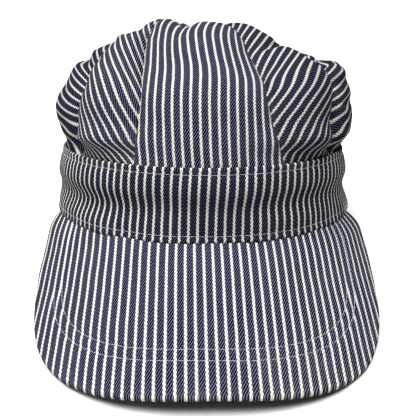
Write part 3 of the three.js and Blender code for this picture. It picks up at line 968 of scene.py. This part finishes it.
thread = bpy.data.materials.new("stitch_thread")
thread.use_nodes = True
thread_weave = Weave(thread)
thread_shader = thread.node_tree.nodes["Principled BSDF"]
thread_place = thread_weave.nodes.new("ShaderNodeTexCoord")
twist = thread_weave.noise(thread_place.outputs["Object"], TWIST_SCALE, 1.0)
thread_colour = thread_weave.mix(twist, THREAD_COLOUR, TWIST_COLOUR)
thread_weave.link(thread_colour, thread_shader.inputs["Base Color"])
thread_shader.inputs["Roughness"].default_value = THREAD_ROUGHNESS


def stitch_tree():
    """Lays one short stitch, pointed along the path, at every step of an evened path."""
    tree = bpy.data.node_groups.new("stitches", "GeometryNodeTree")
    face = tree.interface
    face.new_socket("Path", in_out="INPUT", socket_type="NodeSocketGeometry")
    for socket, value in (("Pitch", STITCH_PITCH), ("Length", STITCH_LENGTH),
                          ("Radius", THREAD_RADIUS)):
        made = face.new_socket(socket, in_out="INPUT", socket_type="NodeSocketFloat")
        made.default_value = value
    face.new_socket("Seed", in_out="INPUT", socket_type="NodeSocketInt")
    face.new_socket("Stitches", in_out="OUTPUT", socket_type="NodeSocketGeometry")
    nodes, links = tree.nodes, tree.links
    given = nodes.new("NodeGroupInput")
    result = nodes.new("NodeGroupOutput")
    curve = nodes.new("GeometryNodeMeshToCurve")
    evened = nodes.new("GeometryNodeResampleCurve")
    evened.mode = "LENGTH"
    ball = nodes.new("GeometryNodeMeshUVSphere")
    ball.inputs["Segments"].default_value = STITCH_SEGMENTS
    ball.inputs["Rings"].default_value = STITCH_RINGS
    ball.inputs["Radius"].default_value = 1.0
    smooth = nodes.new("GeometryNodeSetShadeSmooth")
    size = nodes.new("ShaderNodeCombineXYZ")
    half = nodes.new("ShaderNodeMath")
    half.operation = "MULTIPLY"
    half.inputs[1].default_value = 0.5
    shaped = nodes.new("GeometryNodeTransform")
    tangent = nodes.new("GeometryNodeInputTangent")
    aligned = nodes.new("FunctionNodeAlignRotationToVector")
    aligned.axis = "Z"
    uneven = nodes.new("FunctionNodeRandomValue")
    uneven.data_type = "FLOAT"
    uneven.inputs[2].default_value, uneven.inputs[3].default_value = STITCH_UNEVEN
    laid = nodes.new("GeometryNodeInstanceOnPoints")
    real = nodes.new("GeometryNodeRealizeInstances")
    dyed = nodes.new("GeometryNodeSetMaterial")
    dyed.inputs["Material"].default_value = thread
    links.new(given.outputs["Path"], curve.inputs["Mesh"])
    links.new(curve.outputs["Curve"], evened.inputs["Curve"])
    links.new(given.outputs["Pitch"], evened.inputs["Length"])
    links.new(given.outputs["Length"], half.inputs[0])
    links.new(given.outputs["Radius"], size.inputs["X"])
    links.new(given.outputs["Radius"], size.inputs["Y"])
    links.new(half.outputs[0], size.inputs["Z"])
    links.new(ball.outputs["Mesh"], smooth.inputs["Geometry"])
    links.new(smooth.outputs["Geometry"], shaped.inputs["Geometry"])
    links.new(size.outputs[0], shaped.inputs["Scale"])
    links.new(tangent.outputs[0], aligned.inputs["Vector"])
    links.new(given.outputs["Seed"], uneven.inputs["Seed"])
    links.new(evened.outputs["Curve"], laid.inputs["Points"])
    links.new(shaped.outputs["Geometry"], laid.inputs["Instance"])
    links.new(aligned.outputs["Rotation"], laid.inputs["Rotation"])
    links.new(uneven.outputs[1], laid.inputs["Scale"])
    links.new(laid.outputs["Instances"], real.inputs["Geometry"])
    links.new(real.outputs["Geometry"], dyed.inputs["Geometry"])
    links.new(dyed.outputs["Geometry"], result.inputs["Stitches"])
    return tree


stitching = stitch_tree()


def stitch_row(name, points, seed, closed=False):
    """Sews a row of stitches along a path given in the band's frame."""
    places = placed(points)
    count = len(places)
    edges = [(i, i + 1) for i in range(count - 1)]
    if closed:
        edges.append((count - 1, 0))
    path = bpy.data.meshes.new(name + "_path")
    path.from_pydata([tuple(p) for p in places], edges, [])
    carrier = bpy.data.objects.new(name + "_path", path)
    bpy.context.collection.objects.link(carrier)
    modifier = carrier.modifiers.new("stitches", "NODES")
    modifier.node_group = stitching
    for item in stitching.interface.items_tree:
        if item.item_type == "SOCKET" and item.in_out == "INPUT" and item.name == "Seed":
            modifier[item.identifier] = seed
    depsgraph = bpy.context.evaluated_depsgraph_get()
    sewn = bpy.data.meshes.new_from_object(carrier.evaluated_get(depsgraph))
    sewn.name = name
    bpy.data.objects.remove(carrier)
    piece = bpy.data.objects.new(name, sewn)
    bpy.context.collection.objects.link(piece)
    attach(piece, "root")


BAND_ROW_POINTS = 1200
row_turns = np.linspace(-0.5, 0.5, BAND_ROW_POINTS, endpoint=False)
for row_name, level, row_seed in (("band_stitches_low", BAND_STITCH_LOW, 3),
                                  ("band_stitches_high", BAND_STITCH_HIGH, 4)):
    heights = np.full_like(row_turns, level)
    row_points = band_point(row_turns, heights, band_relief(row_turns, heights) + THREAD_LIFT)
    stitch_row(row_name, row_points, row_seed, closed=True)

# The brim's rows run in from its root on both sides, ahead to the oval's ends and round its front
BRIM_ROW_POINTS = 600
RUN_UP_POINTS = 60
RUN_UP_FROM_ROOT = 0.0005
aside_power, ahead_power = STITCH_OVAL_POWERS
for row_number, (half_width, length) in enumerate(BRIM_STITCH_ROWS):
    angles = np.linspace(-math.pi / 2, math.pi / 2, BRIM_ROW_POINTS)
    aside = half_width * np.sign(np.sin(angles)) * np.abs(np.sin(angles)) ** (2 / aside_power)
    ahead = length * np.maximum(np.cos(angles), 0) ** (2 / ahead_power)
    side_root = brim_root(np.array([half_width]))[0]
    run_up = np.linspace(side_root + RUN_UP_FROM_ROOT, 0, RUN_UP_POINTS, endpoint=False)
    aside = np.concatenate([np.full(RUN_UP_POINTS, -half_width), aside,
                            np.full(RUN_UP_POINTS, half_width)])
    ahead = np.concatenate([run_up, ahead, run_up[::-1]])
    row_points = brim_point(aside, ahead, brim_relief(aside, ahead) + THREAD_LIFT)
    stitch_row(f"brim_stitches_{row_number + 1}", row_points, 5 + row_number)
